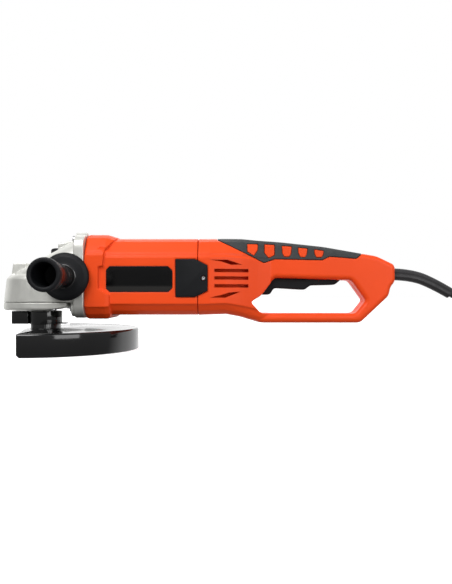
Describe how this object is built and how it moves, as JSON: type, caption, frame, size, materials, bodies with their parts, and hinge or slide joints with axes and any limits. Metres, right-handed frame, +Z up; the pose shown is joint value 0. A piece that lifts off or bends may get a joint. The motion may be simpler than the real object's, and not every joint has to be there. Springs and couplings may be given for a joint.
{
  "type": "angle grinder",
  "caption": "Large corded angle grinder: cast gear head with half-round wheel guard and side handle, barrel motor housing and closed D-shaped rear handle with lever trigger.",
  "frame": {"origin": "centre of the spindle's end face, on the spindle's axis", "axes": "+X from the gear head to the cord, +Z up through the gear head, -Y to the side that carries the side handle"},
  "size_m": [0.7375, 0.2877, 0.1487],
  "materials": {
    "orange_plastic": "smooth moulded orange plastic, semi-gloss",
    "black_plastic": "moulded black plastic, fine grain",
    "gloss_black_plastic": "polished black plastic",
    "grey_rubber": "soft dark grey grip rubber, matt",
    "cast_aluminium": "die-cast aluminium, finely blasted",
    "black_paint": "glossy black painted sheet steel",
    "steel": "machined steel",
    "dark_steel": "blackened steel",
    "copper": "copper, enamelled where it is wound",
    "brass": "plain brass",
    "carbon": "pressed carbon",
    "white_plastic": "white glass-filled plastic",
    "cord_rubber": "black mains-cord rubber, matt"
  },
  "bodies": {
    "housing": {"gear_case": "cast_aluminium", "gear_cover": "cast_aluminium", "gear_cover_screw_1": "steel", "gear_cover_screw_2": "steel", "gear_cover_screw_3": "steel", "gear_cover_screw_4": "steel", "gear_case_screw_1": "steel", "gear_case_screw_2": "steel", "gear_case_screw_3": "steel", "gear_case_screw_4": "steel", "spindle_lock_spring": "steel", "spindle_bearing": "steel", "spindle_top_bearing": "brass", "side_handle_grip": "gloss_black_plastic", "side_handle_stud": "steel", "motor_housing": "orange_plastic", "nameplate_left": "gloss_black_plastic", "nameplate_right": "gloss_black_plastic", "brush_cover_left": "black_plastic", "brush_cover_right": "black_plastic", "brush_cover_screw_left": "steel", "brush_cover_screw_right": "steel", "brush_holder_left": "brass", "brush_holder_right": "brass", "carbon_brush_left": "carbon", "carbon_brush_right": "carbon", "air_baffle": "black_plastic", "armature_front_bearing": "steel", "armature_rear_bearing": "steel", "stator_core": "dark_steel", "field_winding_upper": "copper", "field_winding_lower": "copper", "handle_shell_left": "orange_plastic", "handle_shell_right": "orange_plastic", "handle_screw_1": "dark_steel", "handle_screw_2": "dark_steel", "handle_screw_3": "dark_steel", "grip_insert": "grey_rubber", "switch_body": "black_plastic", "trigger_spring": "steel", "strain_relief": "cord_rubber", "cord": "cord_rubber", "cord_coil": "cord_rubber", "plug": "cord_rubber"},
    "spindle_assembly": {"spindle": "steel", "crown_gear": "dark_steel", "inner_flange": "steel", "clamp_nut": "dark_steel"},
    "rotor": {"armature_shaft": "steel", "armature_core": "dark_steel", "commutator": "copper", "cooling_fan": "white_plastic", "pinion": "steel"},
    "guard": {"wheel_guard": "black_paint", "guard_clamp_band": "black_paint", "guard_clamp_bolt": "dark_steel"},
    "trigger_lever": {"trigger": "black_plastic"},
    "lock_plunger": {"spindle_lock_button": "black_plastic", "spindle_lock_pin": "steel"}
  },
  "joints": [
    {"name": "armature_spin", "type": "hinge", "parent": "housing", "child": "rotor", "pos_m": [0.1, 0, 0.09], "axis": [1, 0, 0], "continuous": true},
    {"name": "spindle_spin", "type": "hinge", "parent": "housing", "child": "spindle_assembly", "pos_m": [0, 0, 0.04], "axis": [0, 0, 1], "continuous": true},
    {"name": "guard_turn", "type": "hinge", "parent": "housing", "child": "guard", "pos_m": [0, 0, 0.03], "axis": [0, 0, 1], "range_deg": [-90, 90]},
    {"name": "trigger_pull", "type": "hinge", "parent": "housing", "child": "trigger_lever", "pos_m": [0.3784, 0, 0.0902], "axis": [0, 1, 0], "range_deg": [0, 4], "stiffness_Nm_per_rad": 5, "springref_deg": -5.73, "deforming": ["trigger_spring"]},
    {"name": "spindle_lock_press", "type": "slide", "parent": "housing", "child": "lock_plunger", "axis": [0, 0, -1], "range_m": [0, 0.0045], "stiffness_N_per_m": 600, "springref_m": -0.004, "deforming": ["spindle_lock_spring"]}
  ],
  "couplings": [
    {"joint": "spindle_spin", "follows": "armature_spin", "ratio": 0.25641}
  ]
}
